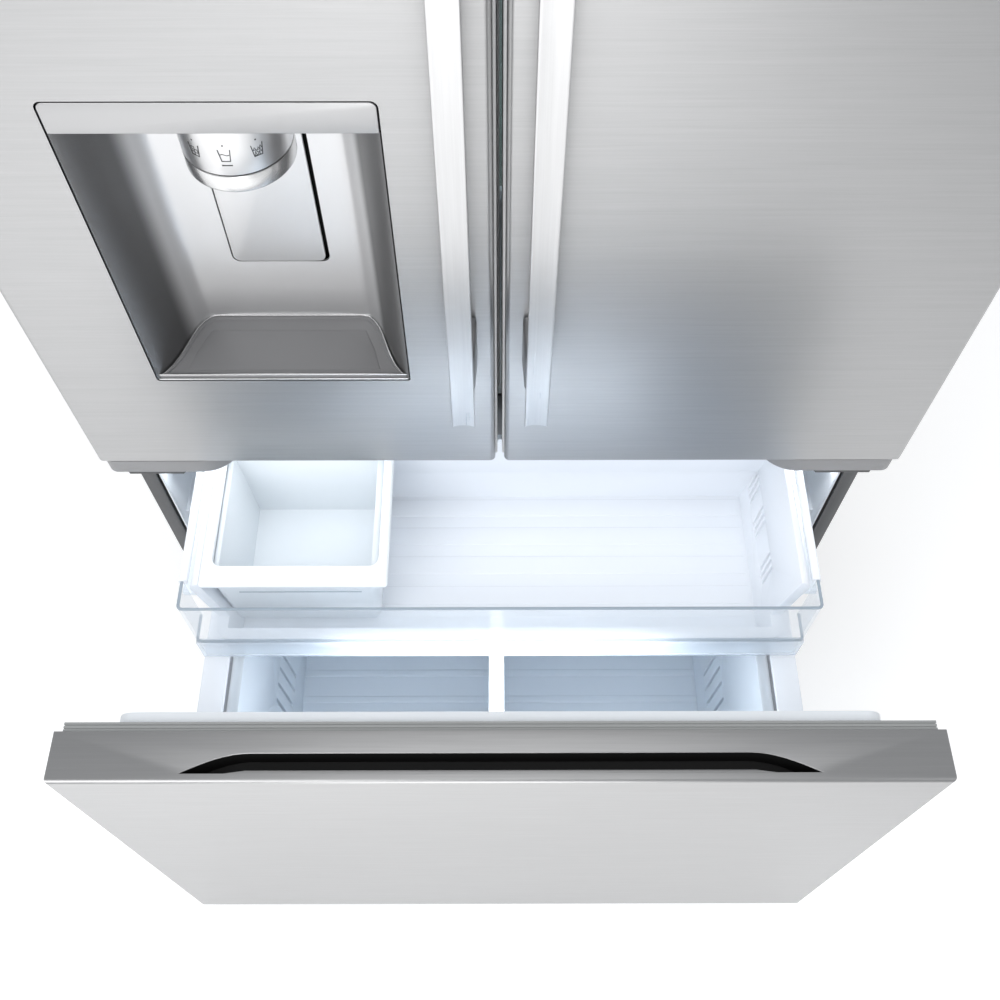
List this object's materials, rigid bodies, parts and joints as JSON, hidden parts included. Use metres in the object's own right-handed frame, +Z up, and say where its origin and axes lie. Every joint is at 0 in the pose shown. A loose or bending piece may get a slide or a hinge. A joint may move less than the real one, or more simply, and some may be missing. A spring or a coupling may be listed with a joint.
{
  "type": "french door refrigerator",
  "caption": "Free-standing refrigerator with two hinged doors over a pull-out freezer drawer, an inner drawer with ice bin, and a water and ice dispenser.",
  "frame": {"origin": "on the floor, in the middle of the footprint with the freezer drawer standing open as at rest", "axes": "+Z up, -Y out of the doors towards the user, +X to the user's right when facing the doors"},
  "size_m": [0.908, 1.0916, 1.785],
  "materials": {
    "steel_brushed": "horizontally brushed",
    "handle_steel": "brushed along its length",
    "cabinet_paint": "fine texture",
    "flange_paint": "satin",
    "galvanised": "matt",
    "liner_white": "vacuum formed, satin",
    "bin_clear": "clear moulding",
    "bin_white": "moulded",
    "bin_frosted": "frosted moulding",
    "guard_clear": "clear",
    "shelf_glass": "clear",
    "seal_grey": "matt",
    "cap_grey": "fine texture",
    "hinge_dark": "satin",
    "hinge_cover_grey": "satin",
    "recess_grey": "metallic paint",
    "tray_dark": "satin",
    "drum_steel": "satin",
    "paddle_grey": "metallic paint",
    "pocket_black": "matt",
    "slide_steel": "zinc plated",
    "compressor_black": "gloss",
    "black_plastic": "matt",
    "roller_grey": "matt",
    "flap_grey": "satin"
  },
  "bodies": {
    "cabinet": {"cabinet_shell": "cabinet_paint", "front_frame": "flange_paint", "center_mullion": "flange_paint", "fridge_liner": "liner_white", "freezer_liner": "liner_white", "rear_panel": "galvanised", "machine_cover": "galvanised", "inlet_valve": "black_plastic", "power_inlet": "black_plastic", "compressor": "compressor_black", "machine_base": "galvanised", "base_rails": "galvanised", "front_feet": "black_plastic", "base_grille": "cap_grey", "top_hinges": "hinge_dark", "top_hinge_covers": "hinge_cover_grey", "middle_hinges": "hinge_dark", "middle_hinge_covers": "hinge_cover_grey", "shelf_glass": "shelf_glass", "shelf_trims": "bin_white", "air_duct": "liner_white", "evaporator_cover": "liner_white", "slide_outer_members": "slide_steel", "inner_drawer_rails": "bin_white"},
    "left_door": {"left_door_skin": "steel_brushed", "left_door_liner": "liner_white", "left_door_gasket": "seal_grey", "left_door_end_caps": "cap_grey", "left_door_bins": "bin_clear", "left_handle": "handle_steel", "left_handle_brackets": "handle_steel", "dispenser_housing": "recess_grey", "dispenser_fascia": "steel_brushed", "nozzle_drum": "drum_steel", "drum_band": "drum_steel"},
    "paddle": {"dispenser_paddle": "paddle_grey"},
    "drip_tray": {"drip_tray": "tray_dark"},
    "flap": {"mullion_flap": "flap_grey"},
    "right_door": {"right_door_skin": "steel_brushed", "right_door_liner": "liner_white", "right_door_gasket": "seal_grey", "right_door_end_caps": "cap_grey", "right_door_bins": "bin_clear", "right_handle": "handle_steel", "right_handle_brackets": "handle_steel"},
    "freezer_drawer": {"drawer_skin": "steel_brushed", "drawer_pocket": "pocket_black", "drawer_liner": "liner_white", "drawer_gasket": "seal_grey", "lower_basket": "bin_white", "basket_divider": "bin_white", "slide_inner_members": "slide_steel"},
    "slide_middle": {"slide_middle_members": "slide_steel"},
    "inner_drawer": {"inner_tray": "bin_white", "inner_front": "guard_clear", "inner_runners": "bin_white"},
    "ice_bin": {"ice_bin": "bin_frosted"},
    "rollers": {"rear_rollers": "roller_grey"},
    "crisper_left": {"crisper_left": "bin_clear"},
    "crisper_right": {"crisper_right": "bin_clear"}
  },
  "joints": [
    {"name": "left_door_hinge", "type": "hinge", "parent": "cabinet", "child": "left_door", "pos_m": [-0.434, -0.15925, 0.76], "axis": [0, 0, -1], "range_deg": [0, 120]},
    {"name": "right_door_hinge", "type": "hinge", "parent": "cabinet", "child": "right_door", "pos_m": [0.434, -0.15925, 0.76], "axis": [0, 0, 1], "range_deg": [0, 120]},
    {"name": "flap_fold", "type": "hinge", "parent": "left_door", "child": "flap", "pos_m": [-0.028, -0.11725, 0.812], "axis": [0, 0, 1], "range_deg": [0, 90]},
    {"name": "paddle_press", "type": "hinge", "parent": "left_door", "child": "paddle", "pos_m": [-0.214, -0.11075, 1.215], "axis": [1, 0, 0], "range_deg": [0, 3.5], "stiffness_Nm_per_rad": 0.8},
    {"name": "drip_tray_lift", "type": "slide", "parent": "left_door", "child": "drip_tray", "axis": [0, 0, 1], "range_m": [0, 0.02]},
    {"name": "freezer_drawer_slide", "type": "slide", "parent": "cabinet", "child": "freezer_drawer", "axis": [0, -1, 0], "range_m": [-0.3565, 0.09]},
    {"name": "slide_middle_travel", "type": "slide", "parent": "cabinet", "child": "slide_middle", "axis": [0, -1, 0], "range_m": [-0.17825, 0.045]},
    {"name": "inner_drawer_slide", "type": "slide", "parent": "cabinet", "child": "inner_drawer", "axis": [0, -1, 0], "range_m": [-0.235, 0.0594]},
    {"name": "ice_bin_lift", "type": "slide", "parent": "inner_drawer", "child": "ice_bin", "axis": [0, 0, 1], "range_m": [0, 0.015]},
    {"name": "roller_spin", "type": "hinge", "parent": "cabinet", "child": "rollers", "pos_m": [0, 0.47075, 0.019], "axis": [1, 0, 0], "continuous": true},
    {"name": "crisper_left_slide", "type": "slide", "parent": "cabinet", "child": "crisper_left", "axis": [0, -1, 0], "range_m": [0, 0.02]},
    {"name": "crisper_right_slide", "type": "slide", "parent": "cabinet", "child": "crisper_right", "axis": [0, -1, 0], "range_m": [0, 0.02]}
  ],
  "couplings": [
    {"joint": "flap_fold", "follows": "left_door_hinge", "ratio": 0.75},
    {"joint": "slide_middle_travel", "follows": "freezer_drawer_slide", "ratio": 0.5},
    {"joint": "inner_drawer_slide", "follows": "freezer_drawer_slide", "ratio": 0.659}
  ]
}
